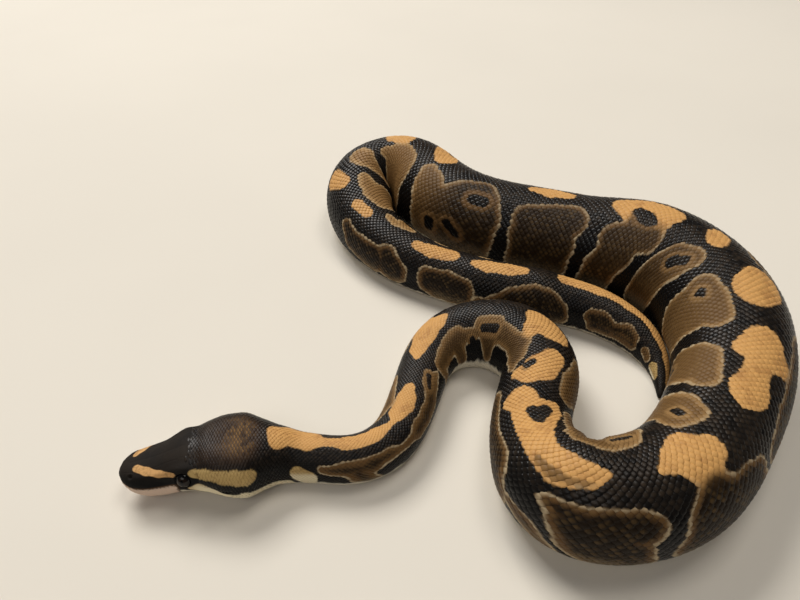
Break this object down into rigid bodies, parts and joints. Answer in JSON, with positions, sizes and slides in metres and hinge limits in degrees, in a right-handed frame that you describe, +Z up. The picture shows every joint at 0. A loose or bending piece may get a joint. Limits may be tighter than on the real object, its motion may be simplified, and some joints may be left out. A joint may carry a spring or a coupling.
{
  "type": "ball python",
  "caption": "Still, life-size model of a ball python lying coiled on the floor, head forward, with a dark patterned body and closed mouth.",
  "frame": {"origin": "middle of the bounding box on the floor that the coiled body lies on", "axes": "+Z up from the floor, +X along the longest extent of the coil away from the head, +Y from the near bend to the far hairpin bend"},
  "size_m": [0.2578, 0.2491, 0.0469],
  "materials": {
    "skin": "fine scales, half gloss",
    "eye": "wet black gloss"
  },
  "bodies": {
    "root": {"head": "skin", "neck": "skin", "fore_rise": "skin", "fore_arch": "skin", "fore_bend": "skin", "fore_drop": "skin", "low_crook": "skin", "low_side": "skin", "outer_side": "skin", "upper_corner": "skin", "upper_side": "skin", "long_run": "skin", "hairpin": "skin", "hind_run": "skin", "hind_end": "skin", "tail": "skin", "left_eye": "eye", "right_eye": "eye"}
  },
  "joints": []
}
